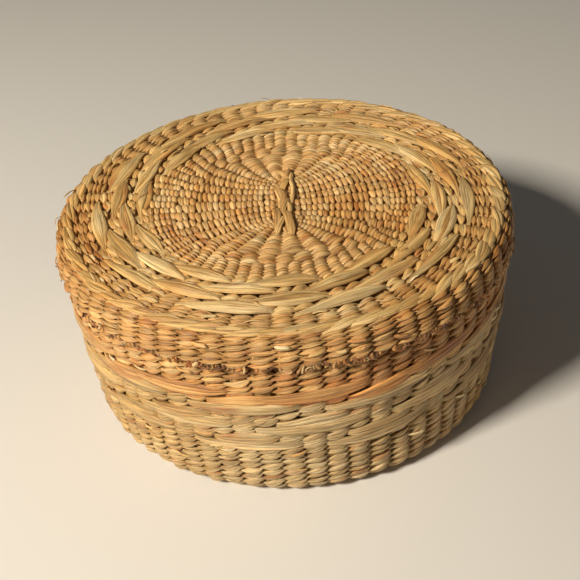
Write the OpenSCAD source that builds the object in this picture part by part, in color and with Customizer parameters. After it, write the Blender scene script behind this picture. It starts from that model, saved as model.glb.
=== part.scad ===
// Twined seagrass box: a shallow slip-over lid on a round, slightly barrelled base.
//
// Both halves are twined the same way. Stakes run from the centre to the edge, and every
// weft course has one strand in front of the stakes and one behind them. The weave is
// therefore drawn as three layers with a small clearance between them: the strands seen
// from outside, the stakes, and the strands seen from inside.
// The origin is the centre of the circle that the base stands on, with +Z up.

/* [Overall size] */
// Height from the table to the top of the raised ring
total_h = 62.2; // [60:0.2:64]
// Outer diameter of the lid at its lower edge
lid_d = 140.2; // [138:0.2:142]
// Outer diameter of the base at its widest, just under the lid
belly_d = 136.8; // [135:0.2:137.6]
// Outer diameter of the base above its rounded foot
bottom_d = 132; // [128:0.5:134]

/* [Weave] */
// Number of stakes in the base, and again in the lid
stakes = 66; // [54:6:78]
// Thickness of a weft strand
strand_t = 1; // [0.8:0.1:1]
// Thickness of a stake
stake_t = 0.8; // [0.6:0.1:0.8]
// Width of a stake, in degrees round the axis
stake_angle = 2.6; // [2:0.1:3]
// Depth of the groove between two neighbouring courses
groove = 0.35; // [0.2:0.05:0.45]
// Clearance between layers and between bands
gap = 0.1; // [0.05:0.01:0.1]

/* [Base courses] */
// Height of a plain twined course on the wall
plain_h = 2.25; // [2.1:0.05:2.25]
// Height of a float course on the wall
float_h = 2.5; // [2.4:0.05:2.5]
// Number of plain courses between the foot and the lowest float band
lower_rows = 8; // [6:1:9]
// Number of plain courses between the highest float band and the neck
upper_rows = 4; // [3:1:4]

/* [Lid] */
// Depth of the dish in the middle of the lid, below its border
dish = 2; // [1:0.1:2]
// Inner radius of the raised ring
ring_inner_r = 41.2; // [39:0.2:42]
// Width of each of the ring's four float rows
ring_row_w = 4.15; // [3.9:0.05:4.2]
// Height of the ring above the border around it
ring_rise = 1; // [0.8:0.1:1.2]

/* [Hidden] */

$fn = 96;
straw = "#d2a868";
pale_straw = "#c8b17c";
orange_straw = "#b9783a";
dark_straw = "#6b4526";

// Depths below the outer face
stake_depth = strand_t + gap;
back_depth = stake_depth + stake_t + gap;
weave_t = back_depth + strand_t;

// Floats: strands that pass over several stakes between two stitches
floats = stakes / 6;
long_float = 4.85 * 360 / stakes;
short_float = 2.85 * 360 / stakes;
float_rise = 0.5;
float_inset = 0.25;

// Angle of one stake, and of one long float, in each half
base_turn = 11;
lid_turn = 6;

// Outer face of the base, from the centre of its bottom out and up to its rim
foot_h = 0.8;
foot_w = 3;
base_corner = 4;
belly_z = total_h - 13.4;
lid_edge_z = total_h - 9.4;
rim_z = total_h - 4.9;
lid_r = lid_d / 2;
skirt_top_r = lid_r - 0.8;
lid_play = 0.4;
wall_foot_z = foot_h + base_corner;
flat_end = bottom_d / 2 - base_corner;
base_path = concat(
    [[0, foot_h]],
    [for (a = [-90 : 15 : 0])
        [flat_end + base_corner * cos(a), wall_foot_z + base_corner * sin(a)]],
    [for (k = [1 : 5])
        [(bottom_d + (belly_d - bottom_d) * sin(18 * k)) / 2,
         wall_foot_z + (belly_z - wall_foot_z) * k / 5]],
    [[lid_r - weave_t - lid_play, lid_edge_z - 0.6],
     [skirt_top_r - weave_t - lid_play, rim_z]]);

// Outer face of the lid, from the centre of its top out and down to its lower edge
shoulder_r = 3;
border_z = total_h - ring_rise;
ring_outer_r = ring_inner_r + 4 * ring_row_w;
lid_path = concat(
    [for (k = [0 : 5])
        [ring_inner_r * k / 5, border_z - dish + (dish - 0.3) * k * k / 25]],
    [[ring_outer_r, border_z]],
    [for (a = [90 : -15 : 0])
        [skirt_top_r - shoulder_r + shoulder_r * cos(a),
         border_z - shoulder_r + shoulder_r * sin(a)]],
    [[lid_r, lid_edge_z]]);

// Distances along the base's outline: wall_0 plus a height gives the place on the wall
wall_0 = flat_end + PI * base_corner / 2 - wall_foot_z;
foot_end = wall_0 + 1.6;
low_floats_s = foot_end + lower_rows * plain_h + 0.6;
low_plain_s = low_floats_s + 2 * float_h;
middle_floats_s = low_plain_s + plain_h;
high_plain_s = middle_floats_s + 2 * float_h;
high_floats_s = high_plain_s + plain_h;
upper_s = high_floats_s + 3 * float_h;
neck_s = upper_s + upper_rows * plain_h;
base_end = path_length(base_path);
rim_s = base_end - 2.1;

// Distances along the lid's outline
paired_end = 0.7 * ring_inner_r;
course_w = 1.65;
lid_end = path_length(lid_path);
skirt_s = lid_end - 6 * course_w;
wale_s = skirt_s - 2.4;

// The crossed middle of base and lid
cross_r = 8.6;
cross_bars = 5;
cross_bar_w = 1.5;
cross_pitch = 3.1;
lid_middle_z = border_z - dish;

// The bound knot on the lid's middle, and the stakes' cut ends
knot_d = 2;
knot_turns = 9;
knot_pitch = 3.4;
cut_end_w = 1.6;
cut_end_l = 2.4;
rim_end_l = 0.3;

// Length of an outline from point i to its end
function path_length(p, i = 0) =
    i >= len(p) - 1 ? 0 : norm(p[i + 1] - p[i]) + path_length(p, i + 1);

// Point at distance s along an outline
function along(p, s, i = 0) =
    let (d = norm(p[i + 1] - p[i]))
    s <= d || i == len(p) - 2 ? p[i] + (p[i + 1] - p[i]) * s / d : along(p, s - d, i + 1);

// Point at distance s along an outline and depth t under its outer face; side is 1 for
// the base's outline and -1 for the lid's
function under(p, side, s, t) =
    let (d = along(p, s + 0.2) - along(p, max(s - 0.2, 0)),
         n = [d[1], -d[0]] / norm(d))
    along(p, s) - n * side * t;

// Depth of the groove at step k of a ribbed face, with four steps to a course
function rib(k) = groove * (1 - sin(45 * (k % 4)));

// Section of a band from s0 to s1 and from depth t0 to t1, with a rounded rib for each
// course on its outer face, or on its inner face where inside is true
function band(p, side, s0, s1, t0, t1, rows, inside = false) =
    let (a = s0 + gap / 2, b = s1 - gap / 2, n = rows * 4)
    concat(
        [for (k = [0 : n]) under(p, side, a + (b - a) * k / n, t0 + (inside ? 0 : rib(k)))],
        [for (k = [n : -1 : 0])
            under(p, side, a + (b - a) * k / n, t1 - (inside ? rib(k) : 0))]);

module base_ring(s0, s1, rows) {
    rotate_extrude() polygon(band(base_path, 1, s0, s1, 0, strand_t, rows));
}

module lid_ring(s0, s1, rows, rise = 0) {
    rotate_extrude() polygon(band(lid_path, -1, s0, s1, -rise, strand_t, rows));
}

// Equal bars of one section, lying round the axis
module bars(section, span, phase) {
    for (i = [0 : floats - 1])
        rotate([0, 0, phase - span / 2 + i * 360 / floats])
            rotate_extrude(angle = span) polygon(section);
}

// The floats of one course of the wall; phase is 0 or half a float's spacing
module wall_floats(s0, span, phase) {
    bars(band(base_path, 1, s0 + float_inset, s0 + float_h - float_inset,
              -float_rise, strand_t / 2, 1), span, base_turn + phase);
}

// One row of the raised ring: a course and the floats over it
module ring_row(index) {
    s0 = ring_inner_r + index * ring_row_w;
    lid_ring(s0, s0 + ring_row_w, 2, ring_rise - float_rise);
    bars(band(lid_path, -1, s0 + float_inset, s0 + ring_row_w - float_inset,
              -ring_rise, strand_t / 2, 1), long_float,
         lid_turn + (index % 2) * 180 / floats);
}

// Section of a stake from the crossed middle to distance s1, with one step for each point
// of the outline
function stake_section(p, side, s1) =
    let (s0 = cross_r + 0.4, end = path_length(p),
         stops = concat([s0],
                        [for (i = [1 : len(p) - 2])
                            let (s = end - path_length(p, i)) if (s > s0 + 1) s],
                        [s1]))
    concat([for (s = stops) under(p, side, s, stake_depth)],
           [for (k = [len(stops) - 1 : -1 : 0])
               under(p, side, stops[k], stake_depth + stake_t)]);

// All the stakes of one half, side by side round the axis
module stake_set(section, turn) {
    for (i = [0 : stakes - 1])
        rotate([0, 0, turn + i * 360 / stakes - stake_angle / 2])
            rotate_extrude(angle = stake_angle) polygon(section);
}

// The stakes' cut ends, as upright bars from the point [radius, height] down; every third
// one is longest
module cut_ends(top, turn, length, step) {
    for (i = [0 : stakes - 1]) {
        l = length - step * (i % 3);
        rotate([0, 0, turn + i * 360 / stakes])
            translate([top[0], -cut_end_w / 2, top[1] - l]) cube([stake_t, cut_end_w, l]);
    }
}

// The first stakes, crossed in two layers at height z
module cross(z) {
    bar_t = stake_t / 2 - 0.05;
    for (k = [0 : cross_bars - 1]) {
        y = (k - (cross_bars - 1) / 2) * cross_pitch;
        half = sqrt(cross_r * cross_r - pow(abs(y) + cross_bar_w / 2, 2));
        translate([-half, y - cross_bar_w / 2, z]) cube([2 * half, cross_bar_w, bar_t]);
        translate([y - cross_bar_w / 2, -half, z + bar_t + 0.05])
            cube([cross_bar_w, 2 * half, bar_t]);
    }
}

module base_stakes() {
    color(straw) stake_set(stake_section(base_path, 1, base_end), base_turn);
}

module base_centre_cross() {
    color(straw) cross(foot_h + stake_depth);
}

module base_bottom_twining() {
    color(pale_straw) base_ring(2, flat_end - foot_w, 30);
}

// The stout course that the base stands on, with a flat underside
module base_foot_wale() {
    color(pale_straw) rotate_extrude() union() {
        polygon(band(base_path, 1, flat_end - foot_w, foot_end, 0, strand_t, 3));
        translate([flat_end - foot_w + gap / 2, 0]) square([foot_w, foot_h + strand_t]);
    }
}

module base_lower_twining() {
    color(pale_straw) base_ring(foot_end, low_floats_s, lower_rows);
}

module base_low_floats() {
    color(pale_straw) {
        base_ring(low_floats_s, low_plain_s, 2);
        wall_floats(low_floats_s, long_float, 180 / floats);
        wall_floats(low_floats_s + float_h, short_float, 180 / floats);
    }
}

module base_low_plain_course() {
    color(pale_straw) base_ring(low_plain_s, middle_floats_s, 1);
}

module base_middle_floats() {
    color(pale_straw) {
        base_ring(middle_floats_s, high_plain_s, 2);
        wall_floats(middle_floats_s, long_float, 0);
        wall_floats(middle_floats_s + float_h, short_float, 0);
    }
}

module base_high_plain_course() {
    color(pale_straw) base_ring(high_plain_s, high_floats_s, 1);
}

module base_high_floats() {
    color(orange_straw) {
        base_ring(high_floats_s, upper_s, 3);
        wall_floats(high_floats_s, long_float, 180 / floats);
        wall_floats(high_floats_s + float_h, short_float, 180 / floats);
        wall_floats(high_floats_s + 2 * float_h, long_float, 0);
    }
}

module base_upper_twining() {
    color(orange_straw) base_ring(upper_s, neck_s, upper_rows);
}

// The courses that the lid slips over
module base_neck_twining() {
    color(straw) base_ring(neck_s, rim_s, 2);
}

module base_rim_course() {
    color(straw) base_ring(rim_s, base_end, 1);
}

// The stakes' ends, trimmed just above the last course
module base_cut_ends() {
    color(dark_straw)
        cut_ends([skirt_top_r - back_depth - weave_t - lid_play, rim_z + gap + rim_end_l],
                 base_turn, rim_end_l, 0);
}

// The strands behind the stakes on the floor and on the wall of the base
module base_floor_lining() {
    color(straw) rotate_extrude()
        polygon(concat([[0, foot_h + back_depth]],
            band(base_path, 1, 2, flat_end - foot_w, back_depth, weave_t, 30, true),
            [[0, foot_h + weave_t]]));
}

module base_wall_lining() {
    color(straw) rotate_extrude()
        polygon(band(base_path, 1, flat_end - foot_w, base_end, back_depth, weave_t, 27,
                     true));
}

module lid_stakes() {
    color(straw) stake_set(stake_section(lid_path, -1, lid_end), lid_turn);
}

module lid_centre_cross() {
    color(straw) cross(lid_middle_z - stake_depth - stake_t);
}

// The binding over the crossed stakes: short turns that lean alternately, in a line
module lid_centre_knot() {
    knot_z = lid_middle_z + gap + 0.2 + knot_d / 2;
    color(straw) for (k = [0 : knot_turns - 1])
        translate([0, (k - (knot_turns - 1) / 2 - 0.5) * knot_pitch, knot_z])
            rotate([90, 0, (k % 2 == 0 ? 1 : -1) * 25]) {
                cylinder(h = knot_pitch * 1.1, d = knot_d, center = true, $fn = 24);
                for (end = [-1, 1])
                    translate([0, 0, end * knot_pitch * 0.55]) sphere(d = knot_d, $fn = 24);
            }
}

// Twining over stakes that still run in pairs
module lid_centre_twining() {
    color(straw) lid_ring(2, paired_end, 16);
}

module lid_disc_twining() {
    color(straw) lid_ring(paired_end, ring_inner_r, 7);
}

module lid_ring_row_1() {
    color(straw) ring_row(0);
}

module lid_ring_row_2() {
    color(straw) ring_row(1);
}

module lid_ring_row_3() {
    color(straw) ring_row(2);
}

module lid_ring_row_4() {
    color(straw) ring_row(3);
}

module lid_border_twining() {
    color(straw) lid_ring(ring_outer_r, wale_s, 4);
}

module lid_shoulder_wale() {
    color(straw) lid_ring(wale_s, skirt_s, 1, 0.2);
}

module lid_skirt_twining() {
    color(straw) lid_ring(skirt_s, lid_end - course_w, 5);
}

module lid_edge_course() {
    color(straw) lid_ring(lid_end - course_w, lid_end, 1);
}

// The stakes' ends, cut short and ragged below the lid's last course
module lid_cut_ends() {
    color(dark_straw)
        cut_ends(under(lid_path, -1, lid_end, stake_depth + stake_t) - [0, gap], lid_turn,
                 cut_end_l, 0.3);
}

// The strands behind the stakes under the lid's top and inside its skirt
module lid_top_lining() {
    color(straw) rotate_extrude()
        polygon(concat([[0, lid_middle_z - back_depth]],
            band(lid_path, -1, 2, wale_s, back_depth, weave_t, 32, true),
            [[0, lid_middle_z - weave_t]]));
}

module lid_skirt_lining() {
    color(straw) rotate_extrude()
        polygon(band(lid_path, -1, wale_s, lid_end, back_depth, weave_t, 6, true));
}

base_stakes();
base_centre_cross();
base_bottom_twining();
base_foot_wale();
base_lower_twining();
base_low_floats();
base_low_plain_course();
base_middle_floats();
base_high_plain_course();
base_high_floats();
base_upper_twining();
base_neck_twining();
base_rim_course();
base_cut_ends();
base_floor_lining();
base_wall_lining();
lid_stakes();
lid_centre_cross();
lid_centre_knot();
lid_centre_twining();
lid_disc_twining();
lid_ring_row_1();
lid_ring_row_2();
lid_ring_row_3();
lid_ring_row_4();
lid_border_twining();
lid_shoulder_wale();
lid_skirt_twining();
lid_edge_course();
lid_cut_ends();
lid_top_lining();
lid_skirt_lining();
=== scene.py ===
import math

import bpy
import numpy as np
from mathutils import Matrix, Vector


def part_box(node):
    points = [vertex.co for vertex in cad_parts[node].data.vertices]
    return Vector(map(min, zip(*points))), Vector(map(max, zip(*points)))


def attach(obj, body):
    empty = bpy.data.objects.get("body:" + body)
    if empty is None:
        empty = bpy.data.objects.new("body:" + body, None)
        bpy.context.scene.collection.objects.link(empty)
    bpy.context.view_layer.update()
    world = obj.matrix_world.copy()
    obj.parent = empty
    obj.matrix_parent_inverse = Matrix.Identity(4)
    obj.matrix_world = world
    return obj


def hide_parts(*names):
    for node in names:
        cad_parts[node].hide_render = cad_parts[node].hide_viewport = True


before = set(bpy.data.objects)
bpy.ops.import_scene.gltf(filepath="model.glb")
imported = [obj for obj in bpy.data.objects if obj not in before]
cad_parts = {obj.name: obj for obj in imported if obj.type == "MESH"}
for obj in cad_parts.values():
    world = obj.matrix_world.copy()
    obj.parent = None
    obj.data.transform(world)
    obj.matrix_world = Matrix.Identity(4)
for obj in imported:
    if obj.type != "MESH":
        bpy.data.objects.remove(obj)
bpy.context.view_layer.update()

# ---------------------------------------------------------------- sizes, in millimetres
MM = 0.001


def edge(node, axis, end):
    """One coordinate of a CAD node's box: axis 0 to 2, end 0 for low and 1 for high."""
    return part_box(node)[end][axis] / MM


STAKES = 66
STRAND_T = 1.0
STAKE_T = 0.8
LAYER_GAP = 0.1
WEAVE_T = 2 * STRAND_T + STAKE_T + 2 * LAYER_GAP

LID_R = 0.5 * (edge("lid_edge_course", 0, 1) - edge("lid_edge_course", 0, 0)) + 0.1
LID_EDGE_Z = edge("lid_edge_course", 2, 0)
TOP_Z = edge("lid_ring_row_4", 2, 1)
RING_RISE = 1.0
BORDER_Z = TOP_Z - RING_RISE
DISH = 2.0
RING_INNER_R = 41.2
RING_ROW_W = 4.15
RING_OUTER_R = RING_INNER_R + 4 * RING_ROW_W
SHOULDER_R = 3.0
SKIRT_TOP_R = LID_R - 0.8

FOOT_H = 0.8
BASE_CORNER = 4.0
BOTTOM_R = 66.0
BELLY_R = 68.4
BELLY_Z = TOP_Z - 13.4
RIM_Z = TOP_Z - 4.9
NECK_LOW_R = LID_R - WEAVE_T - 0.4
NECK_TOP_R = SKIRT_TOP_R - WEAVE_T - 0.4

rng = np.random.default_rng(20)


# ---------------------------------------------------------------- outlines and surfaces
OUTLINE_STEP = 0.5


def arc(cx, cz, r, a0, a1):
    """Points on a circle in the outline's plane, from angle a0 to a1 in degrees."""
    angles = np.radians(np.linspace(a0, a1, 7))
    return [(cx + r * math.cos(a), cz + r * math.sin(a)) for a in angles]


class Outline:
    """The middle of the weave's thickness, as a line from the axis outwards, by length."""

    def __init__(self, face, turn):
        face = np.array(face)
        dense = [face[0]]
        for a, b in zip(face[:-1], face[1:]):
            steps = max(1, int(np.linalg.norm(b - a) / OUTLINE_STEP))
            dense += [a + (b - a) * (k + 1) / steps for k in range(steps)]
        p = np.array(dense)
        for _ in range(3):
            p[1:-1] = (p[:-2] + 2 * p[1:-1] + p[2:]) / 4
        d = np.gradient(p, axis=0)
        n = np.stack([d[:, 1], -d[:, 0]], 1) * turn
        n /= np.linalg.norm(n, axis=1)[:, None]
        self.p, self.n = p - n * WEAVE_T / 2, n
        step = np.linalg.norm(np.diff(p, axis=0), axis=1)
        self.s = np.concatenate([[0], np.cumsum(step)])
        self.end = self.s[-1]

    def at(self, s):
        """Radius, height and outward normal at distance s."""
        return [np.interp(s, self.s, c) for c in (*self.p.T, *self.n.T)]


WALL_FOOT_Z = FOOT_H + BASE_CORNER
FLAT_END = BOTTOM_R - BASE_CORNER
BASE = Outline(
    [(0, FOOT_H)]
    + arc(FLAT_END, WALL_FOOT_Z, BASE_CORNER, -90, 0)
    + [(BOTTOM_R + (BELLY_R - BOTTOM_R) * math.sin(math.pi * k / 10),
        WALL_FOOT_Z + (BELLY_Z - WALL_FOOT_Z) * k / 5) for k in range(1, 6)]
    + [(NECK_LOW_R, LID_EDGE_Z - 0.6), (NECK_TOP_R, RIM_Z)], 1)
LID = Outline(
    [(RING_INNER_R * k / 5, BORDER_Z - DISH + (DISH - 0.3) * k * k / 25) for k in range(6)]
    + [(RING_OUTER_R, BORDER_Z)]
    + arc(SKIRT_TOP_R - SHOULDER_R, BORDER_Z - SHOULDER_R, SHOULDER_R, 90, 0)
    + [(LID_R, LID_EDGE_Z)], -1)


def smooth(x):
    """Goes from 0 to 1 as x does, level at both ends."""
    x = np.clip(x, 0, 1)
    return x * x * (3 - 2 * x)


def out_of_round(turn_angle):
    """How far a handmade round wall strays from a circle, the same for base and lid."""
    return 0.3 * np.cos(2 * turn_angle + 0.7) + 0.15 * np.cos(3 * turn_angle + 2.1)


# Near the knot the rows are ovals with square shoulders. Each of these fades to nothing
# from one distance along the outline, over another.
OVAL_FROM, OVAL_OVER = 18, 23
SQUARE_BY, SQUARE_FROM, SQUARE_OVER = 0.08, 24, 17
EVENED_BY, EVENED_OVER = 0.07, 18
ROUND_FROM = 41

# Random unevenness of the weave: how far apart its values lie, and how much they vary
TABLE_ROWS, TABLE_STEP = 12, 12
DRIFT, DRIFT_FROM, DRIFT_OVER = 0.055, 20, 20
HUMP = 0.10
MOOD_ROWS, MOOD_STEP = 36, 3.5
WALL_FROM, WALL_OVER = 50, 15


class Woven:
    """A surface of revolution whose first rows lie in ovals round a short middle line.

    A point is (u, s, d): stakes counted anticlockwise from the front, the row's distance
    from the middle, and how far out from the middle of the weave. Turn is in degrees, and
    the halves are of the middle line, in front of the axis and behind it.
    """

    def __init__(self, outline, turn, front_half, back_half, lean):
        self.outline, self.lean = outline, lean
        self.turn = (turn + 90) / 360 * STAKES
        self.halves = front_half, back_half
        self.drift = rng.normal(0, DRIFT, (STAKES, TABLE_ROWS))
        self.humps = rng.normal(0, HUMP, (STAKES, TABLE_ROWS))
        self.mood = rng.normal(0, 1, (STAKES // 3, MOOD_ROWS))

    def table(self, values, u, s, reach=TABLE_STEP):
        """Smoothly varying value at stake u and distance s from a table of random ones."""
        columns, rows = values.shape
        k = np.clip(s / reach, 0, rows - 1.01)
        row = np.floor(k).astype(int)
        up = smooth(k - row)
        v = u * columns / STAKES
        i = np.floor(v).astype(int)
        over = smooth(v - i)
        i0, i1 = i % columns, (i + 1) % columns
        low = values[i0, row] * (1 - over) + values[i1, row] * over
        high = values[i0, row + 1] * (1 - over) + values[i1, row + 1] * over
        return low * (1 - up) + high * up

    def plan(self, angle, s):
        """Place in plan of the point at an angle of the row at distance s."""
        oval = 1 - smooth((s - OVAL_FROM) / OVAL_OVER)
        square = SQUARE_BY * (1 - smooth((s - SQUARE_FROM) / SQUARE_OVER))
        reach = np.where(np.sin(angle) < 0, *self.halves)
        long = s + (np.hypot(s, reach) - s) * oval
        x = s * (np.cos(angle) - square * np.cos(3 * angle)) / (1 - square)
        evened = EVENED_BY * (1 - smooth(s / EVENED_OVER))
        y = long * (np.sin(angle) + evened * np.sin(3 * angle)) / (1 - evened)
        return np.stack([x, y], 1)

    def point(self, u, s, d):
        """Points in millimetres, one for each u, s and d."""
        u = np.asarray(u, float)
        s = np.broadcast_to(s, u.shape).astype(float)
        far = smooth((s - DRIFT_FROM) / DRIFT_OVER)
        angle = 2 * np.pi * (u + self.turn + self.table(self.drift, u, s) * far) / STAKES
        angle = angle - np.pi / 2
        inner = self.plan(angle, s)
        inner_r = np.hypot(*inner.T)
        middle = s < ROUND_FROM
        r, z, nr, nz = self.outline.at(np.where(middle, inner_r, s))
        direction = np.stack([np.cos(angle), np.sin(angle)], 1)
        direction = np.where(middle[:, None], inner / np.maximum(inner_r, 0.01)[:, None],
                             direction)
        d = d + self.table(self.humps, u, s)
        wobble = out_of_round(angle) * smooth((s - WALL_FROM) / WALL_OVER)
        xy = direction * (r + d * nr + wobble)[:, None]
        return np.concatenate([xy, (z + d * nz)[:, None]], 1)


BASE_TURN = 11
LID_TURN = 6
base_weave = Woven(BASE, BASE_TURN, 12.0, 12.0, 1)
lid_weave = Woven(LID, LID_TURN, 12.5, 12.0, -1)


# ---------------------------------------------------------------- strands as meshes
class Bundle:
    """Strand tubes gathered for one piece: points, faces, tint and fibre coordinates."""

    def __init__(self):
        self.parts = []
        self.count = 0

    def add(self, verts, faces, tint, fibre):
        """Takes one strand's mesh, its faces numbered from 0."""
        self.parts.append((verts, faces + self.count, tint, fibre))
        self.count += len(verts)

    def object(self, name, material):
        """Makes one Blender object of all the strands."""
        verts, faces, tints, fibres = (np.concatenate(x) for x in zip(*self.parts))
        mesh = bpy.data.meshes.new(name)
        mesh.vertices.add(len(verts))
        mesh.vertices.foreach_set("co", (verts * MM).astype(np.float32).ravel())
        mesh.loops.add(len(faces) * 4)
        mesh.loops.foreach_set("vertex_index", faces.astype(np.int32).ravel())
        mesh.polygons.add(len(faces))
        mesh.polygons.foreach_set("loop_start", np.arange(len(faces), dtype=np.int32) * 4)
        mesh.polygons.foreach_set("use_smooth", np.ones(len(faces), bool))
        mesh.update(calc_edges=True)
        colour = mesh.attributes.new("tint", "FLOAT_COLOR", "POINT")
        rgba = np.concatenate([tints, np.ones((len(tints), 1))], 1)
        colour.data.foreach_set("color", rgba.astype(np.float32).ravel())
        along = mesh.attributes.new("fibre", "FLOAT_VECTOR", "POINT")
        along.data.foreach_set("vector", fibres.astype(np.float32).ravel())
        mesh.materials.append(material)
        made = bpy.data.objects.new(name, mesh)
        bpy.context.scene.collection.objects.link(made)
        return made


# A strand's edges are thinner than a plain ellipse's, and each has its own part of the noise
EDGE_THINNING = 0.12
NOISE_RANGE = 500


def unit(v):
    """Vectors of length 1 along the last axis."""
    return v / np.maximum(np.linalg.norm(v, axis=-1, keepdims=True), 1e-9)


def tube(bundle, centre, across, half_w, half_t, tint, closed, sides=10, ridges=0,
         ridge_h=0.0, roll=None):
    """Sweeps a flattened section along centre; across is the way its width lies."""
    n = len(centre)
    if closed:
        run = np.roll(centre, -1, 0) - np.roll(centre, 1, 0)
    else:
        run = np.gradient(centre, axis=0)
    run = unit(run)
    wide = unit(across - (across * run).sum(1, keepdims=True) * run)
    thick = np.cross(run, wide)
    if roll is not None:
        c, s = np.cos(roll)[:, None], np.sin(roll)[:, None]
        wide, thick = wide * c + thick * s, thick * c - wide * s
    a = np.arange(sides) * 2 * np.pi / sides
    x, y = np.cos(a), np.sin(a)
    y = y * (1 - EDGE_THINNING * x * x) * (1 + ridge_h * np.cos(2 * ridges * a))
    pts = (centre[:, None] + wide[:, None] * (half_w[:, None] * x)[..., None]
           + thick[:, None] * (half_t[:, None] * y)[..., None])
    length = np.concatenate([[0], np.cumsum(np.linalg.norm(np.diff(centre, axis=0), axis=1))])
    seed = rng.random() * NOISE_RANGE
    fibre = np.empty((n, sides, 3))
    fibre[..., 0] = length[:, None] + seed
    fibre[..., 1] = half_w.max() * x
    fibre[..., 2] = half_w.max() * y + seed
    rings = n if closed else n - 1
    i = np.arange(rings)[:, None] * sides
    j = (np.arange(rings)[:, None] + 1) % n * sides
    k, m = np.arange(sides)[None], (np.arange(sides)[None] + 1) % sides
    faces = np.stack([i + k, i + m, j + m, j + k], -1).reshape(-1, 4)
    tints = np.repeat(tint[:, None], sides, 1).reshape(-1, 3)
    verts, fibre = pts.reshape(-1, 3), fibre.reshape(-1, 3)
    if not closed:
        verts, faces, tints, fibre = cap_ends(verts, faces, tints, fibre, centre, sides)
    bundle.add(verts, faces, tints, fibre)


def cap_ends(verts, faces, tints, fibre, centre, sides):
    """Closes both ends of an open tube with a fan of quads round its middle."""
    first, last = len(verts), len(verts) + 1
    tail = first - sides
    verts = np.concatenate([verts, centre[[0, -1]]])
    tints = np.concatenate([tints, tints[[0, tail]]])
    fibre = np.concatenate([fibre, fibre[[0, tail]]])
    k = np.arange(0, sides, 2)
    start = np.stack([np.full_like(k, first), (k + 2) % sides, (k + 1) % sides, k], 1)
    end = np.stack([np.full_like(k, last), tail + k, tail + (k + 1) % sides,
                    tail + (k + 2) % sides], 1)
    return verts, np.concatenate([faces, start, end]), tints, fibre


# ---------------------------------------------------------------- colours of the straw
# Each list runs from bleached straw to the brown of its oldest patches
GOLDEN = [(0.82, 0.59, 0.29), (0.73, 0.46, 0.18), (0.65, 0.37, 0.125), (0.57, 0.275, 0.078),
          (0.43, 0.17, 0.04)]
PALE = [(0.80, 0.63, 0.38), (0.69, 0.52, 0.28), (0.61, 0.44, 0.21), (0.55, 0.36, 0.15),
        (0.52, 0.28, 0.09)]
ORANGE = [(0.82, 0.57, 0.26), (0.71, 0.42, 0.145), (0.60, 0.285, 0.075),
          (0.49, 0.185, 0.042), (0.33, 0.10, 0.02)]
CREAM = [(0.88, 0.66, 0.34), (0.80, 0.55, 0.23), (0.74, 0.45, 0.155), (0.66, 0.355, 0.11),
         (0.53, 0.24, 0.07)]
DARK = [(0.14, 0.055, 0.02), (0.30, 0.13, 0.045), (0.48, 0.25, 0.09), (0.68, 0.46, 0.22)]
RUST = np.array((0.50, 0.18, 0.05))


def shade_of(palette, age):
    """Colour at each age, from 0 (bleached) to 1 (brown)."""
    stops = np.linspace(0, 1, len(palette))
    channels = np.array(palette).T
    return np.stack([np.interp(age, stops, c) for c in channels], -1)


# Painted light and shade: a warm tint on the lit left side and on the shaded right side
PAINTED_WARM_SIDES = ((-165, 2.4, 1.0), (-20, 2.0, 0.7))
WARM_TAKES = (0.045, 0.11, 0.22)


def painted_side_light(azimuth, warmth):
    """Painted light and shade: the straw is tinted warmer at the lit left and the shaded right than
    in the middle of the front.

    Each warm side has its azimuth in degrees, how narrow it is, and its strength. Warmth
    takes a little from the red, more from the green and most from the blue.
    """
    warm = 0
    for degrees, narrow, strength in PAINTED_WARM_SIDES:
        facing = np.cos(azimuth - math.radians(degrees)) * 0.5 + 0.5
        warm = warm + strength * smooth(facing * narrow + 1 - narrow)
    warm = warmth * warm
    return np.stack([1 - take * warm for take in WARM_TAKES], -1)


# How much the straw's age varies by place, by spliced piece and by stitch
MOOD_AGES = 0.17
SPLICE_AGES = 0.08
STITCH_AGES = 0.05
STITCH_SHADES = 0.055
# Lengths in stakes
FIRST_SPLICE, SHORTEST_SPLICE, LONGEST_SPLICE = 12, 7, 22
SPOT_SIZE, SPOT_STRENGTH = (0.25, 1.2), (0.2, 0.7)


def strand_tint(x, stitch, length, palette, rust, mood, uneven=1.0, age=0.45):
    """Colour along a strand: pieces spliced in one after another, with rusty spots.

    Age is the middle age of its straw, and rust the number of spots in four stakes.
    """
    age = age + MOOD_AGES * mood
    at = -int(rng.integers(0, FIRST_SPLICE))
    while at < length:
        piece = int(rng.integers(SHORTEST_SPLICE, LONGEST_SPLICE))
        age[(x >= at + 0.5) & (x < at + piece + 0.5)] += rng.normal(0, SPLICE_AGES)
        at += piece
    age = age + uneven * rng.normal(0, STITCH_AGES, length)[stitch]
    tint = shade_of(palette, age)
    tint = tint * rng.normal(1, STITCH_SHADES * uneven, length)[stitch][:, None]
    for _ in range(rng.poisson(rust * length / 4)):
        where, spread = rng.uniform(0, length), rng.uniform(*SPOT_SIZE)
        near = np.exp(-((x - where) / spread) ** 2)[:, None] * rng.uniform(*SPOT_STRENGTH)
        tint = tint * (1 - near) + RUST * near
    return tint


# ---------------------------------------------------------------- twining
def runs(x, fronts):
    """How a strand passes a round of stakes, in front (+1) or behind (-1) each of them.

    For each x it gives the strand's side (smooth between stakes), the sign of the run it
    is in, its place along that run from 0 to 1, how many stakes the run has, and which
    stake it starts at.
    """
    fronts = np.array(fronts)
    period = len(fronts)
    i = np.floor(x).astype(int)
    here, after = fronts[i % period], fronts[(i + 1) % period]
    side = here + (after - here) * (1 - np.cos(np.pi * (x - i))) / 2
    nearest = np.floor(x + 0.5).astype(int)
    sign = fronts[nearest % period]
    counts = []
    for way in (-1, 1):
        count, going = np.zeros_like(nearest), np.ones(len(x), bool)
        for step in range(1, period):
            going &= fronts[(nearest + way * step) % period] == sign
            count += going
        counts.append(count)
    run = counts[0] + counts[1] + 1
    place = np.clip((x - (nearest - counts[0] - 0.5)) / run, 0, 1)
    return side, sign, place, run, nearest - counts[0]


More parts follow.
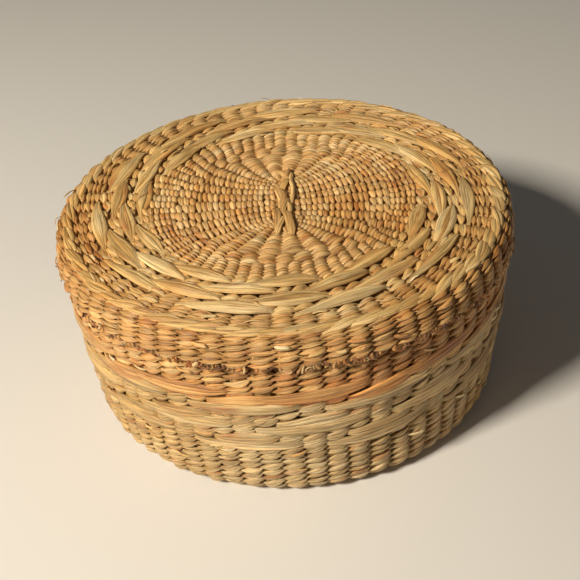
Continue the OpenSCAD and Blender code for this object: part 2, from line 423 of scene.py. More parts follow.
# A tip above 1 puts a stitch's widest place past its middle. Front keeps a strand in front
# of the stakes for longer than behind them. Roll turns a stitch about its own line.
TIP = 1.2
FRONT = 0.3
ROLL = 0.35
# Slow wandering of a course, and how much its stitches vary
SWAY, SWAY_WAVES = 0.05, 5
LEAN_VARIES = 0.25
ROW_VARIES = 0.08
DEPTH_VARIES = 0.09
SIZE_VARIES = 0.12
# Blades of one strand: how the outer ones lie lower, and how they overlap and vary
CROWN = 0.3
BLADE_SHARE, BLADE_THICK = 1.12, 0.75
BLADE_VARIES, BLADE_RISES, BLADE_SLIMS = 0.10, 0.8, 1.2
THIN_BETWEEN = 0.75
ROW_STEP = 0.2


def course(bundle, surface, s, width, n, patterns, palette, rust=0.12, slant=0.34,
           per_stake=8, sides=10, fill=1.10, pinch=0.28, thick=0.70, rise=0.0, bulge=0.0,
           plateau=0.65, bow=0.0, float_slant=0.3, float_fill=None, float_shift=0.0,
           blades=1, spread=0.95, lens=1.0, uneven=1.0, rough=1.0, warmth=0.7, age=0.45):
    """One twined course over n stakes or pairs of stakes, as closed strands.

    A pattern lists, stake by stake, whether its strand is in front (+1) or behind (-1).
    Where a strand is in view it swells to fill times the course's width, and between
    stakes it narrows to pinch times that. Slant and float_slant lean its short and long
    stitches, bow lifts a float's middle, float_shift moves it inwards, and bulge lifts
    every stitch. Blades are the split parts that lie side by side in one strand, spread
    apart. Lens above 1 points a stitch's ends, and plateau below 1 flattens its middle.
    """
    depth = (STAKE_T + STRAND_T) / 2 + LAYER_GAP
    laps = 1 if n % len(patterns[0]) == 0 else 2
    length = n * laps
    per_unit = STAKES / n
    sway = rng.normal(0, SWAY, SWAY_WAVES)
    phase = rng.uniform(0, 2 * np.pi, SWAY_WAVES)
    for fronts in (patterns if laps == 1 else patterns[:1]):
        x = np.arange(length * per_stake) / per_stake
        side, sign, place, run, first = runs(x, fronts)
        stitch = first % length
        vary = rng.normal(0, 1, (3, length))[:, stitch]
        side = np.where(side > -FRONT, side + FRONT, (side + FRONT) * (1 + FRONT)
                        / (1 - FRONT)) / (1 + FRONT)
        side = np.sign(side) * np.abs(side) ** plateau
        swell = np.sin(np.pi * place ** np.where(sign > 0, TIP, 1)) ** lens
        floating = (run > 1) & (sign > 0)
        u = x * per_unit + (per_unit - 1) / 2
        turn = 2 * np.pi * u / STAKES
        wander = sum(a * np.cos((k + 1) * turn + p)
                     for k, (a, p) in enumerate(zip(sway, phase)))
        lean = np.where(run > 1, float_slant, slant) * sign * surface.lean
        lean = lean * (1 + LEAN_VARIES * vary[1])
        stray = ROW_VARIES * rough * vary[0] * swell
        rows = s + wander + (stray + lean * (2 * place - 1)) * width
        rows = rows + floating * float_shift * swell
        d = rise + depth * side
        d = d + (DEPTH_VARIES * rough * vary[1] + bulge * (sign > 0)) * swell
        d = d + floating * bow * 4 * place * (1 - place)
        local = surface.point(u, rows + ROW_STEP, d) - surface.point(u, rows - ROW_STEP, d)
        stretch = np.clip(np.linalg.norm(local, axis=1) / (2 * ROW_STEP), 0.3, 1.2)
        full = np.where(floating, float_fill or fill, fill)
        swell = swell * (1 + SIZE_VARIES * rough * vary[2])
        half_w = width / 2 * (fill * pinch + (full - fill * pinch) * swell)
        half_t = thick * STRAND_T * (THIN_BETWEEN + (1 - THIN_BETWEEN) * swell)
        mood = surface.table(surface.mood, u, rows, MOOD_STEP)
        # Painted light and shade: the warm tint of the lit left and the shaded right
        side_light = painted_side_light(2 * np.pi * (u + surface.turn) / STAKES - np.pi / 2, warmth)
        for k in range(blades):
            off = (2 * k + 1 - blades) / blades
            crown = CROWN * off * off * half_t * (blades > 1)
            odd = BLADE_VARIES * rng.normal(0, 1, (2, length))[:, stitch] * (blades > 1)
            unlike, slim = odd
            blade_rows = rows + (off * spread + unlike * swell) * half_w
            blade_d = d - crown * swell + BLADE_RISES * unlike * swell
            share = 1.0 if blades == 1 else BLADE_SHARE - spread * (blades - 1) / blades
            blade_w = half_w * share * (1 + BLADE_SLIMS * slim * swell)
            tint = strand_tint(x, stitch, length, palette, rust, mood, uneven, age) * side_light
            tube(bundle, surface.point(u, blade_rows, blade_d), local, blade_w * stretch,
                 half_t * (1.0 if blades == 1 else BLADE_THICK), tint, True, sides,
                 roll=ROLL * sign * (1 - 2 * place) * surface.lean)


PLAIN = [[1, -1], [-1, 1]]
LONG = [[1, 1, 1, -1, 1, 1], [-1, -1, -1, 1, -1, -1]]
SHORT = [[1, 1, -1, 1, -1, 1], [-1, -1, 1, -1, 1, -1]]
WALE = [[1, 1, -1], [-1, 1, 1], [1, -1, 1]]


def moved(patterns, by):
    """The same patterns, begun by stakes later."""
    return [list(np.roll(p, by)) for p in patterns]


def plain_band(bundle, surface, s0, s1, rows, n, palette, **options):
    """Plain courses side by side from s0 to s1."""
    pitch = (s1 - s0) / rows
    for k in range(rows):
        course(bundle, surface, s0 + (k + 0.5) * pitch, pitch, n, moved(PLAIN, k % 2),
               palette, **options)


# ---------------------------------------------------------------- loose strands
TAPER = 4
RIDGE_H = 0.2


def curve(points, per_span=6):
    """A smooth line through given points."""
    p = np.array(points, float)
    p = np.concatenate([[2 * p[0] - p[1]], p, [2 * p[-1] - p[-2]]])
    line = []
    for a, b, c, d in zip(p[:-3], p[1:-2], p[2:-1], p[3:]):
        for w in np.arange(per_span) / per_span:
            line.append(0.5 * (2 * b + (c - a) * w + (2 * a - 5 * b + 4 * c - d) * w ** 2
                               + (3 * b - a - 3 * c + d) * w ** 3))
    return np.array(line + [p[-2]])


def loose(bundle, points, width, thickness, colour, across, ends=(0.35, 0.35), sides=10,
          ridges=0, per_span=6, twist=0.0):
    """A strand on its own, through points in millimetres; ends gives its taper."""
    line = curve(points, per_span)
    place = np.linspace(0, 1, len(line))
    grow = np.minimum(ends[0] + place * TAPER, ends[1] + (1 - place) * TAPER)
    half_w = width / 2 * np.minimum(grow, 1)
    half_t = thickness / 2 * np.minimum(grow + 0.2, 1)
    tint = np.tile(np.array(colour, float), (len(line), 1))
    tint = tint * (0.92 + 0.16 * rng.random((1, 1)))
    beside = np.broadcast_to(np.array(across, float), line.shape)
    tube(bundle, line, beside, half_w, half_t, tint, False, sides, ridges, RIDGE_H,
         twist * (place - 0.5))


# ---------------------------------------------------------------- material
# Scales along and across the strand are in noise cells for each millimetre
STREAK_SCALE = (0.08, 1.6)
THREAD_SCALE = (0.05, 3.2)
BLOTCH_SCALE = (0.12, 0.35)
PITH_SCALE = (0.8, 9.0)
WAXY_SPECULAR = 0.65
BUMP_DEPTH = 0.7 * MM


def straw_material(name, roughness):
    """Dried seagrass: streaks and threads along it, blotches, and a low waxy gloss."""
    material = bpy.data.materials.new(name)
    material.use_nodes = True
    nodes, links = material.node_tree.nodes, material.node_tree.links
    shader = nodes["Principled BSDF"]

    def node(kind, **values):
        """A new shader node with its properties set."""
        made = nodes.new(kind)
        for key, value in values.items():
            setattr(made, key, value)
        return made

    tint = node("ShaderNodeAttribute", attribute_name="tint")
    fibre = node("ShaderNodeAttribute", attribute_name="fibre")

    def noise(scale, detail):
        """Noise stretched along the fibres."""
        along, across = scale
        stretch = node("ShaderNodeMapping")
        stretch.inputs["Scale"].default_value = (along, across, across)
        links.new(fibre.outputs["Vector"], stretch.inputs["Vector"])
        made = node("ShaderNodeTexNoise")
        made.inputs["Scale"].default_value = 1.0
        made.inputs["Detail"].default_value = detail
        links.new(stretch.outputs["Vector"], made.inputs["Vector"])
        return made.outputs["Fac"]

    def ramp(value, *stops):
        """A colour or a grey for each value, from stops of (value, colour or grey)."""
        made = node("ShaderNodeValToRGB")
        while len(made.color_ramp.elements) < len(stops):
            made.color_ramp.elements.new(0.5)
        for element, (place, grey) in zip(made.color_ramp.elements, stops):
            element.position = place
            element.color = (*([grey] * 3), 1) if np.isscalar(grey) else (*grey, 1)
        links.new(value, made.inputs["Fac"])
        return made.outputs["Color"]

    def blend(kind, amount, first, second):
        """Mixes two colours by a blend mode."""
        made = node("ShaderNodeMix", data_type="RGBA", blend_type=kind)
        made.inputs["Factor"].default_value = amount
        links.new(first, made.inputs["A"])
        links.new(second, made.inputs["B"])
        return made.outputs["Result"]

    streaks = noise(STREAK_SCALE, 5)
    threads = noise(THREAD_SCALE, 2)
    blotches = noise(BLOTCH_SCALE, 3)
    pith = noise(PITH_SCALE, 3)
    shade = ramp(streaks, (0.35, 0.42), (0.47, 0.94), (0.63, 1.26))
    lines = ramp(threads, (0.36, 0.62), (0.47, 1.0), (0.62, 1.18))
    hue = ramp(blotches, (0.36, (0.78, 0.66, 0.54)), (0.46, (1.0, 1.0, 1.0)),
               (0.62, (1.10, 1.14, 1.20)))
    colour = blend("MULTIPLY", 0.8, tint.outputs["Color"], shade)
    colour = blend("MULTIPLY", 0.75, colour, lines)
    colour = blend("MULTIPLY", 0.6, colour, hue)
    links.new(colour, shader.inputs["Base Color"])
    links.new(ramp(pith, (0.3, roughness - 0.14), (0.7, roughness + 0.1)),
              shader.inputs["Roughness"])
    shader.inputs["Specular IOR Level"].default_value = WAXY_SPECULAR
    bump = node("ShaderNodeBump")
    bump.inputs["Strength"].default_value = 0.8
    bump.inputs["Distance"].default_value = BUMP_DEPTH
    height = blend("MIX", 0.45, streaks, threads)
    links.new(blend("MIX", 0.25, height, pith), bump.inputs["Height"])
    links.new(bump.outputs["Normal"], shader.inputs["Normal"])
    return material


ROUGHNESS = {"stake_straw": 0.55, "pale_straw": 0.36, "orange_straw": 0.38,
             "golden_straw": 0.38, "float_straw": 0.38, "dark_straw": 0.7}
MATERIALS = {slot: straw_material(slot, rough) for slot, rough in ROUGHNESS.items()}


def add_piece(name, bundle, body, slot, *nodes):
    """Makes a piece that moves with a body and stands for some CAD nodes."""
    made = bundle.object(name, MATERIALS[slot])
    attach(made, body)
    if nodes:
        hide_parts(*nodes)
    return made


# ---------------------------------------------------------------- base
# Heights of the courses, and the distance along the outline where each band starts
FLOAT_H = 2.5
PLAIN_H = 2.25
FOOT_COURSE_H = 2.1
WALL_0 = FLAT_END + math.pi * BASE_CORNER / 2 - WALL_FOOT_Z
FOOT_END = WALL_0 + 1.6
LOW_FLOATS = FOOT_END + 8 * PLAIN_H + 0.6
LOW_PLAIN = LOW_FLOATS + 2 * FLOAT_H
MIDDLE_FLOATS = LOW_PLAIN + PLAIN_H
HIGH_PLAIN = MIDDLE_FLOATS + 2 * FLOAT_H
HIGH_FLOATS = HIGH_PLAIN + PLAIN_H
UPPER = HIGH_FLOATS + 3 * FLOAT_H
NECK = UPPER + 4 * PLAIN_H
BASE_END = BASE.end - 0.3
RIM = BASE_END - 2.1
BOTTOM_END = FLAT_END - 3
BOTTOM_SINGLE = 28.6
BOTTOM_OUTER = 43.8
STANDING, RISING = BOTTOM_END + 1.1, BOTTOM_END + 3.2
FOOT_TOP = BOTTOM_END + 4.2
PAIRED = STAKES // 2

# How the strands look: plain courses of two blades, and floats of three on the wall
SPLIT = dict(blades=2, spread=0.52, sides=8, rough=1.4, fill=1.12, pinch=0.17, thick=0.85,
             lens=1.15, plateau=0.6)
WALL_FLOAT = dict(blades=3, sides=10, float_slant=0.42, bow=0.45, float_fill=1.65,
                  fill=1.35, lens=0.8, pinch=0.5, plateau=0.5, uneven=2.0)


# The pale straw is painted much warmer at the sides, as light and shade; the orange straw isn't
PALE_SIDE_LIGHT = 2.2
HALF = 3


def float_band(name, s0, slot, node, *courses):
    """Float courses one above another, each with its patterns, palette and rust."""
    band = Bundle()
    for k, (patterns, palette, rust) in enumerate(courses):
        course(band, base_weave, s0 + (k + 0.5) * FLOAT_H, FLOAT_H, STAKES, patterns,
               palette, rust=rust, warmth=PALE_SIDE_LIGHT if palette is PALE else 0,
               **WALL_FLOAT)
    add_piece(name, band, "base", slot, node)


def pale_band(name, s0, s1, rows, node, **options):
    """Plain courses of the pale straw."""
    band = Bundle()
    plain_band(band, base_weave, s0, s1, rows, STAKES, PALE, warmth=PALE_SIDE_LIGHT, **options,
               **SPLIT)
    add_piece(name, band, "base", "pale_straw", node)


def build_base():
    """The base's courses, from the middle of its bottom up to its rim."""
    low = dict(per_stake=6, sides=8)
    centre, middle, outer = Bundle(), Bundle(), Bundle()
    plain_band(centre, base_weave, 2, BOTTOM_SINGLE, 14, PAIRED, GOLDEN, **low)
    plain_band(middle, base_weave, BOTTOM_SINGLE, BOTTOM_OUTER, 8, STAKES, GOLDEN, **low)
    plain_band(outer, base_weave, BOTTOM_OUTER, BOTTOM_END, 8, STAKES, GOLDEN, **low)
    add_piece("base_bottom_centre", centre, "base", "pale_straw")
    add_piece("base_bottom_middle", middle, "base", "pale_straw", "base_floor_lining")
    add_piece("base_bottom_outer", outer, "base", "pale_straw", "base_bottom_twining")

    foot = Bundle()
    wale = dict(slant=0.3, float_slant=0.3, sides=12, rough=0.5)
    course(foot, base_weave, STANDING, FOOT_COURSE_H, STAKES, WALE, PALE, rise=0.25,
           thick=0.85, **wale)
    course(foot, base_weave, RISING, FOOT_COURSE_H, STAKES, WALE, PALE, thick=0.7, **wale)
    course(foot, base_weave, (FOOT_TOP + FOOT_END) / 2, 1.8, STAKES, PLAIN, PALE)
    add_piece("base_foot", foot, "base", "pale_straw", "base_foot_wale")

    half_way = (FOOT_END + LOW_FLOATS) / 2
    weathered = dict(rust=0.2, uneven=2.0)
    pale_band("base_lower_rows", FOOT_END, half_way, 4, "base_lower_twining", **weathered)
    pale_band("base_wall_rows", half_way, LOW_FLOATS, 4, "base_wall_lining", **weathered)
    float_band("base_low_float_rows", LOW_FLOATS, "pale_straw", "base_low_floats",
               (moved(LONG, HALF), PALE, 0.1), (moved(SHORT, HALF), PALE, 0.1))
    pale_band("base_low_plain_row", LOW_PLAIN, MIDDLE_FLOATS, 1, "base_low_plain_course")
    float_band("base_middle_float_rows", MIDDLE_FLOATS, "pale_straw", "base_middle_floats",
               (LONG, PALE, 0.15), (SHORT, PALE, 0.15))
    pale_band("base_high_plain_row", HIGH_PLAIN, HIGH_FLOATS, 1, "base_high_plain_course")
    float_band("base_high_float_rows", HIGH_FLOATS, "orange_straw", "base_high_floats",
               (moved(LONG, HALF), PALE, 0.5), (moved(SHORT, HALF), ORANGE, 0.3),
               (LONG, ORANGE, 0.3))

    upper = Bundle()
    plain_band(upper, base_weave, UPPER, NECK, 4, STAKES, ORANGE, rust=0.4, warmth=0,
               uneven=2.4, **SPLIT)
    add_piece("base_upper_rows", upper, "base", "orange_straw", "base_upper_twining")

    thin = dict(rise=-0.2, thick=0.6)
    neck = Bundle()
    plain_band(neck, base_weave, NECK, RIM, 2, STAKES, GOLDEN, **thin)
    add_piece("base_neck_rows", neck, "base", "golden_straw", "base_neck_twining")

    rim = Bundle()
    plain_band(rim, base_weave, RIM, BASE_END, 1, STAKES, GOLDEN, **thin)
    add_piece("base_rim_row", rim, "base", "golden_straw", "base_rim_course")


# ---------------------------------------------------------------- lid
# The ribs round the knot split in two steps into the lid's stakes
RIBS = 30
SPLIT_RIBS = 2 * STAKES // 3
RIBS_END = 0.65 * RING_INNER_R
SPLIT_END = 0.80 * RING_INNER_R
COURSE_W = 1.65
RING_PLAIN_TO = 0.5
RING_FLOATS_AT = 0.74
LID_END = LID.end - 0.1
SKIRT = LID_END - 6 * COURSE_W
WALE_S = SKIRT - 2.4
LEAF = dict(blades=3, spread=0.78, sides=12, bow=0.85, float_slant=0.5, float_fill=2.2,
            float_shift=-0.24 * RING_ROW_W, fill=1.25, thick=0.85, pinch=0.32, lens=1.0,
            plateau=0.5, uneven=2.2, age=0.36)


def build_lid():
    """The lid's courses, from its knot out to the edge of its skirt."""
    centre, disc = Bundle(), Bundle()
    rib = dict(rust=0.05, plateau=0.7, fill=1.16, pinch=0.32, thick=0.85, slant=0.25,
               uneven=1.4, rough=0.9, age=0.4)
    plain_band(centre, lid_weave, 2, RIBS_END, 14, RIBS, GOLDEN, per_stake=9, bulge=0.5,
               **rib)
    plain_band(disc, lid_weave, RIBS_END, SPLIT_END, 3, SPLIT_RIBS, GOLDEN,
               bulge=0.3, **rib)
    plain_band(disc, lid_weave, SPLIT_END, RING_INNER_R, 5, STAKES, GOLDEN, bulge=0.15,
               **rib)
    add_piece("lid_centre_rows", centre, "lid", "golden_straw", "lid_centre_twining",
              "lid_centre_cross", "lid_top_lining")
    add_piece("lid_disc_rows", disc, "lid", "golden_straw", "lid_disc_twining")

    for k in range(4):
        row = Bundle()
        start = RING_INNER_R + k * RING_ROW_W
        plain_band(row, lid_weave, start, start + RING_PLAIN_TO * RING_ROW_W, 1, STAKES,
                   CREAM, rust=0.2, rise=0.15, fill=1.2, blades=2, spread=0.5, uneven=1.6)
        course(row, lid_weave, start + RING_FLOATS_AT * RING_ROW_W, RING_ROW_W / 2, STAKES,
               moved(LONG, HALF * (k % 2)), CREAM, rust=0.2, **LEAF)
        add_piece(f"lid_ring_floats_{k + 1}", row, "lid", "float_straw",
                  f"lid_ring_row_{k + 1}")

    border = Bundle()
    plain_band(border, lid_weave, RING_OUTER_R, WALE_S, 4, STAKES, GOLDEN, uneven=1.4,
               **SPLIT)
    add_piece("lid_border_rows", border, "lid", "golden_straw", "lid_border_twining")

    wale = Bundle()
    course(wale, lid_weave, (WALE_S + SKIRT) / 2, SKIRT - WALE_S, STAKES, WALE, CREAM,
           slant=0.3, float_slant=0.5, blades=2, sides=10, thick=0.9, fill=1.25, bow=0.5,
           pinch=0.25, uneven=1.5)
    add_piece("lid_shoulder_wale_row", wale, "lid", "golden_straw", "lid_shoulder_wale")

    skirt, edge_row = Bundle(), Bundle()
    # Real rust and unevenness, and straw aged darker than the top's: painted shade on the
    # side-facing skirt
    worn_and_shaded = dict(rust=0.3, uneven=2.0, age=0.57)
    plain_band(skirt, lid_weave, SKIRT, LID_END - COURSE_W, 5, STAKES, GOLDEN, **worn_and_shaded,
               **SPLIT)
    plain_band(edge_row, lid_weave, LID_END - COURSE_W, LID_END, 1, STAKES, GOLDEN, **worn_and_shaded,
               **SPLIT)
    add_piece("lid_skirt_rows", skirt, "lid", "golden_straw", "lid_skirt_twining",
              "lid_skirt_lining")
    add_piece("lid_edge_row", edge_row, "lid", "golden_straw", "lid_edge_course")


# ---------------------------------------------------------------- stakes
STAKE_START = 3
PAIRS_PART_FROM, PAIRS_PART_OVER = 27, 5
PAIR_LEAN = 0.26
WIDEST_STAKE = 6.6
STAKE_STEPS = 90
STAKE_SPLICES = 12
STAKE_SHADE = 0.8


def build_stakes(surface, name, body, end, node):
    """Flat stakes in the middle of the weave, paired near the centre."""
    bundle = Bundle()
    for i in range(STAKES):
        s = np.linspace(STAKE_START, end, STAKE_STEPS)
        paired = 1 - smooth((s - PAIRS_PART_FROM) / PAIRS_PART_OVER)
        towards_mate = (PAIR_LEAN if i % 2 == 0 else -PAIR_LEAN) * paired
        u = i + towards_mate
        centre = surface.point(u, s, 0 * s)
        beside = surface.point(u + 0.1, s, 0 * s) - centre
        pitch = np.linalg.norm(beside, axis=1) * 10
        half_w = np.minimum(pitch, WIDEST_STAKE) / 2 * rng.uniform(0.94, 1.06)
        x = np.linspace(0, STAKE_SPLICES - 1, len(s))
        tint = strand_tint(x, x.astype(int), STAKE_SPLICES, GOLDEN, 0.1, 0 * s)
        tube(bundle, centre, beside, half_w, STAKE_T / 2 + 0 * s, tint * STAKE_SHADE, False, 6)
    add_piece(name, bundle, body, "stake_straw", node)


# ---------------------------------------------------------------- knot in the middle
# Each strand: its width, its thickness, and points of (across, along, height over the lid)
KNOT = [
    (5.6, 1.0, [(0.3, 19, -0.8), (0.7, 12, -0.5), (0.4, 4, -0.4), (0.1, -4, -0.4),
                (0, -10, -0.6), (0, -18, -0.9)]),
    (2.1, 1.0, [(-0.8, 19, -0.3), (-0.4, 17, 0.7), (0.9, 15, 1.2), (1.9, 12.5, 0.9),
                (2.4, 10.5, 0.2)]),
    (1.5, 1.0, [(3.4, 18.5, -0.3), (2.9, 16.8, 1.1), (2.2, 14, 1.4), (1.2, 12, 0.7),
                (0.4, 10.8, 0)]),
    (1.4, 0.9, [(3.4, 17.5, 0), (3.7, 14.5, 1.0), (3.3, 10.5, 1.2), (3.7, 6.5, 1.3),
                (3.5, 2.5, 1.2), (2.9, -1, 0.8), (2.5, -3, 0.2)]),
    (2.3, 1.0, [(2.9, 12, 0.2), (2.1, 10.8, 1.2), (1.2, 8.8, 1.5), (0.4, 6.8, 1.0),
                (-0.6, 5, 0.1)]),
    (1.6, 0.9, [(-1.9, 12, -0.8), (-1.3, 9, 0.5), (0, 6, 0.8), (1.4, 4, 0.5), (2.2, 2.5, 0)]),
    (2.4, 1.1, [(-1.1, 10.5, -0.7), (-0.7, 7.5, 0.4), (0.1, 4.0, 1.2), (0.5, 1.0, 1.3),
                (0, -1.6, 1.0), (-0.6, -3.8, 0.2)]),
    (1.3, 0.8, [(-2.1, 8.5, -0.6), (-1.5, 5.5, 0.7), (-0.9, 2.0, 1.1), (-0.6, -1.0, 0.9),
                (-1.0, -3.5, 0.1)]),
    (1.8, 1.0, [(2.2, 1.2, 0.2), (1.6, -0.8, 1.2), (0.9, -3.2, 1.4), (0.1, -6, 1.2),
                (-0.4, -8.8, 0.4)]),
    (1.6, 1.0, [(1.0, -0.5, 0.1), (1.7, -2.6, 1.2), (2.2, -4.8, 1.3), (2.0, -7.2, 0.8),
                (1.7, -8.6, 0)]),
    (2.2, 1.0, [(-3.2, -3.6, -0.2), (-2.3, -5, 0.8), (-1.7, -8, 1.2), (-1.8, -11.5, 1.1),
                (-2.1, -15, 0.7), (-2.4, -18, -0.4)]),
    (1.9, 0.9, [(0.6, -8.6, 0.3), (0.1, -10.5, 1.1), (-0.9, -13.5, 1.3), (-1.9, -16.5, 1.1),
                (-2.9, -19.5, -0.3)]),
    (2.6, 1.1, [(0.9, -5.8, 0.1), (1.1, -8.0, 1.2), (1.4, -10.8, 1.5), (1.7, -14, 1.4),
                (2.0, -17, 1.0), (2.2, -20, -0.4)]),
    (1.0, 0.8, [(-0.6, -14, -0.1), (-0.1, -16, 0.6), (0.3, -18, 0.5), (0.4, -19.5, -0.4)])]
NARROW_STRAND = 2.0
ACROSS_KNOT = (1, 0, 0.1)
KNOT_TONES = [(0.68, 0.40, 0.14), (0.73, 0.44, 0.16), (0.61, 0.34, 0.12), (0.77, 0.49, 0.19)]


def build_knot():
    """The lid's knot, of crossed strands that dive into the weave at their ends."""
    bundle = Bundle()
    for k, (width, thickness, points) in enumerate(KNOT):
        placed = []
        for x, y, height in points:
            r = math.hypot(x, y)
            placed.append((x, y, float(np.interp(r, LID.p[:, 0], LID.p[:, 1]))
                           + WEAVE_T / 2 + height))
        loose(bundle, placed, width, thickness, KNOT_TONES[k % 4], ACROSS_KNOT, sides=20,
              ridges=2 if width < NARROW_STRAND else 4, twist=0.4, ends=(0.2, 0.3))
    add_piece("lid_knot", bundle, "lid", "float_straw", "lid_centre_knot")


PRESSED = 0.35


def build_bottom_knot():
    """The same crossing under the base, pressed flat and kept off the table."""
    bundle = Bundle()
    for k, (width, thickness, points) in enumerate(KNOT):
        placed = [(x, 0.8 * y, FOOT_H - min(PRESSED, PRESSED * height))
                  for x, y, height in points]
        loose(bundle, placed, width, 0.55 * thickness, GOLDEN[k % 5], (1, 0, 0),
              sides=12, ridges=2)
    add_piece("base_bottom_knot", bundle, "base", "pale_straw", "base_centre_cross")


# ---------------------------------------------------------------- cut ends and stray fibres
# Raggedness wanders from stake to stake, about 0: the tufts are fuller and longer above it
RAGGED_LASTS, RAGGED_VARIES = 0.5, 0.9
TUFT, TUFT_MORE, TUFT_LEAST, TUFT_MOST = 11, 7, 2, 22
WISP_SHORTEST, WISP_LONGEST, WISP_LONGER = 0.8, 2.6, 0.7
DARK_SHARE = 0.6
TONE_SHARES = (0.15, 0.3, 0.35, 0.2)


def build_fringe():
    """The lid's stakes are cut ragged below its last course: stubs, wisps and curls."""
    bundle = Bundle()
    raggedness = 0
    for i in range(STAKES):
        raggedness = RAGGED_LASTS * raggedness + rng.normal(0, RAGGED_VARIES)
        out = unit(lid_weave.point([i], LID_END, [1.0]) - lid_weave.point([i], LID_END, [0.0]))[0]
        side = np.cross((0, 0, 1), out)
        longest = WISP_LONGEST + WISP_LONGER * np.clip(raggedness, -1, 1.5)
        wisps = int(np.clip(TUFT + TUFT_MORE * raggedness, TUFT_LEAST, TUFT_MOST))
        for _ in range(wisps):
            u = i + rng.uniform(-0.5, 0.5)
            root = lid_weave.point([u], LID_END - 0.5, [rng.uniform(-0.4, 1.5)])[0]
            length = rng.uniform(WISP_SHORTEST, longest)
            down = np.array((0, 0, -1.0)) + side * rng.normal(0, 0.55)
            down = down + out * rng.uniform(-0.1, 0.25)
            bend = side * rng.normal(0, 0.8) + out * rng.uniform(-0.2, 0.4)
            points = [root, root + down * length * 0.5,
                      root + down * length * 0.85 + bend * length * 0.4]
            tones = DARK if rng.random() < DARK_SHARE else ORANGE[1:]
            colour = tones[int(rng.choice(4, p=TONE_SHARES))]
            loose(bundle, points, rng.uniform(0.4, 1.3), 0.35, colour, side,
                  ends=(0.8, 0.25), sides=6, per_span=3, twist=rng.normal(0, 1.5))
        for _ in range(rng.integers(0, 3)):
            build_curl(bundle, i + rng.uniform(-0.4, 0.4), out, side)
    add_piece("lid_fringe", bundle, "lid", "dark_straw", "lid_cut_ends")


CURL_DROP, CURL_SINKS = 1.3, 0.08
CURL_OUT, CURL_DRIFTS = 0.35, 0.06
CURL_FLAT = 0.6


def build_curl(bundle, u, out, side):
    """A fibre that turns back on itself in a small loop."""
    root = lid_weave.point([u], LID_END - 0.4, [0.9])[0]
    radius, turns = rng.uniform(0.4, 1.0), rng.uniform(0.5, 1.0)
    start, way = rng.uniform(0, np.pi), rng.choice((-1, 1))
    points = [root]
    for a in np.linspace(0, turns * 2 * np.pi, 9):
        swing = start + way * a
        down = np.array((0, 0, -CURL_DROP - CURL_SINKS * a))
        points.append(root + down + side * radius * math.cos(swing)
                      + np.array((0, 0, 1)) * CURL_FLAT * radius * math.sin(swing)
                      + out * (CURL_OUT + CURL_DRIFTS * a))
    colour = DARK[int(rng.integers(1, 4))]
    loose(bundle, points, 0.4, 0.25, colour, out, ends=(0.9, 0.3), sides=6, per_span=3)


STUBS, STUB_STEP = 3, 0.13


def build_rim_ends():
    """The base's stakes end in stubs just above its last course."""
    bundle = Bundle()
    for i in range(STAKES):
        side = base_weave.point([i + 0.1], BASE_END, [0.0]) - base_weave.point([i], BASE_END, [0.0])
        for k in range(STUBS):
            u = i + (k - 1) * STUB_STEP + rng.uniform(-0.03, 0.03)
            s = np.array((-0.8, 0.1, rng.uniform(0.45, 0.75))) + BASE_END
            points = base_weave.point([u] * 3, s, rng.uniform(-0.25, 0.25, 3))
            loose(bundle, points, 0.9, 0.55, DARK[int(rng.integers(0, 4))], side[0],
                  ends=(0.9, 0.8), sides=8, per_span=3)
    add_piece("base_stake_ends", bundle, "base", "dark_straw", "base_cut_ends")


# Ranges in millimetres: a fibre is thin and bends away, a flake is broad and lies close.
# Turn and bend are how much its heading and its line vary.
FIBRE = dict(depth=1.2, length=(2.5, 7.0), turn=0.5, lift=(0.1, 0.55), bend=0.4,
             width=(0.14, 0.32), thickness=0.12, ends=(0.9, 0.2))
FLAKE = dict(depth=1.1, length=(3.0, 5.5), turn=0.2, lift=(0.05, 0.25), bend=0.15,
             width=(0.7, 1.5), thickness=0.3, ends=(0.4, 0.1))


def build_strays(surface, name, body, fibres, flakes, low, high):
    """Fine fibres that have come away from the weave, and flakes of split strands."""
    bundle = Bundle()
    for kind in [FIBRE] * fibres + [FLAKE] * flakes:
        u, s = rng.uniform(0, STAKES), rng.uniform(low, high)
        root = surface.point([u], s, [kind["depth"]])[0]
        out = unit(surface.point([u], s, [2.0])[0] - root)
        along = unit(surface.point([u + 0.2], s, [1.2])[0] - root)
        across = np.cross(out, along)
        length = rng.uniform(*kind["length"])
        heading = along * rng.choice((-1, 1)) + across * rng.normal(0, kind["turn"])
        lift = rng.uniform(*kind["lift"])
        points = [root, root + heading * length * 0.4 + out * (0.25 + lift * length * 0.5),
                  root + heading * length * 0.75 + out * (0.2 + lift * length * 0.6)
                  + across * rng.normal(0, kind["bend"]),
                  root + heading * length + out * lift * length * rng.uniform(0.2, 0.9)]
        loose(bundle, points, rng.uniform(*kind["width"]), kind["thickness"],
              CREAM[int(rng.integers(5))], across, ends=kind["ends"], sides=6, per_span=5)
    add_piece(name, bundle, body, "float_straw")


RING_STRAYS_FROM = 42
build_base()
build_lid()
build_knot()
build_bottom_knot()
build_fringe()
build_rim_ends()
build_strays(base_weave, "base_stray_fibres", "base", fibres=14, flakes=70,
             low=FOOT_END + 9, high=NECK)
build_strays(lid_weave, "lid_stray_fibres", "lid", fibres=26, flakes=90,
             low=RING_STRAYS_FROM, high=LID_END - 2)
build_stakes(base_weave, "base_stake_set", "base", BASE_END, "base_stakes")
build_stakes(lid_weave, "lid_stake_set", "lid", LID_END, "lid_stakes")


# ---------------------------------------------------------------- camera, floor and light
FLOOR_COLOUR = (0.78, 0.75, 0.70, 1)
CAMERA_PITCH, CAMERA_ROLL = 37.04, -5.06
CAMERA_DISTANCE = 0.3189
CAMERA_TARGET = (0, 0, 0.0252)
FOCAL_LENGTH, SENSOR_WIDTH = 60.17, 36
LIGHT_TARGET = (0, 0, 0.03)


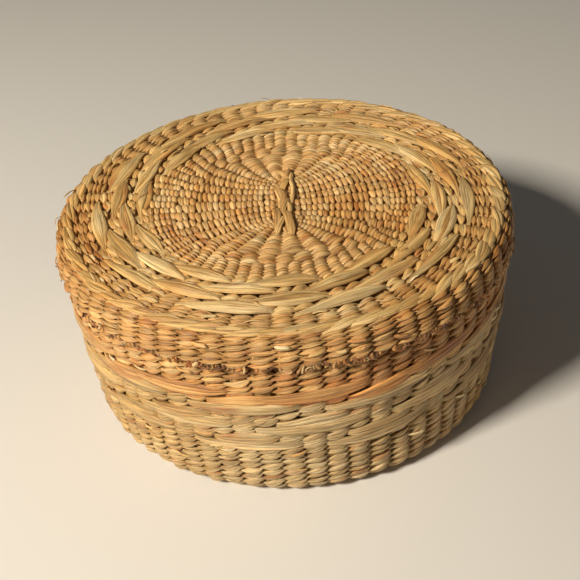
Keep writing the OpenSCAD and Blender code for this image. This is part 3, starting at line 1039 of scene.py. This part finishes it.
def add_floor():
    """A plain pale floor."""
    bpy.ops.mesh.primitive_plane_add(size=6, location=(0, 0, 0))
    floor = bpy.context.object
    floor.name = "floor"
    material = bpy.data.materials.new("floor")
    material.use_nodes = True
    shader = material.node_tree.nodes["Principled BSDF"]
    shader.inputs["Base Color"].default_value = FLOOR_COLOUR
    shader.inputs["Roughness"].default_value = 0.8
    floor.data.materials.append(material)


def add_camera():
    """The camera looks down 37 degrees from the front, turned slightly clockwise."""
    pitch, roll = math.radians(CAMERA_PITCH), math.radians(CAMERA_ROLL)
    ahead = Vector((0, math.cos(pitch), -math.sin(pitch)))
    level = Vector((1, 0, 0))
    upward = level.cross(ahead)
    right = level * math.cos(roll) + upward * math.sin(roll)
    up = upward * math.cos(roll) - level * math.sin(roll)
    data = bpy.data.cameras.new("camera")
    data.lens = FOCAL_LENGTH
    data.sensor_width = SENSOR_WIDTH
    data.clip_start = 0.01
    camera = bpy.data.objects.new("camera", data)
    bpy.context.scene.collection.objects.link(camera)
    place = Vector(CAMERA_TARGET) - ahead * CAMERA_DISTANCE
    camera.matrix_world = Matrix((
        (right.x, up.x, -ahead.x, place.x), (right.y, up.y, -ahead.y, place.y),
        (right.z, up.z, -ahead.z, place.z), (0, 0, 0, 1)))
    bpy.context.scene.camera = camera


def add_light(name, place, size, power, colour):
    """A square light aimed at the middle of the box."""
    data = bpy.data.lights.new(name, "AREA")
    data.size = size
    data.energy = power
    data.color = colour
    lamp = bpy.data.objects.new(name, data)
    lamp.location = place
    aim = Vector(LIGHT_TARGET) - Vector(place)
    lamp.rotation_euler = aim.to_track_quat("-Z", "Y").to_euler()
    bpy.context.scene.collection.objects.link(lamp)


def add_world():
    """Dim light from all round."""
    world = bpy.data.worlds.new("studio")
    world.use_nodes = True
    background = world.node_tree.nodes["Background"]
    background.inputs["Color"].default_value = (1.0, 0.95, 0.88, 1)
    background.inputs["Strength"].default_value = 0.06
    bpy.context.scene.world = world


add_floor()
add_camera()
add_world()
add_light("key", place=(-0.546, -0.427, 0.64), size=0.15, power=10.6,
          colour=(1.0, 0.92, 0.79))
add_light("fill", place=(0.4, -0.7, 0.6), size=0.8, power=0.2, colour=(1.0, 0.96, 0.92))
bpy.context.scene.view_settings.view_transform = "Standard"
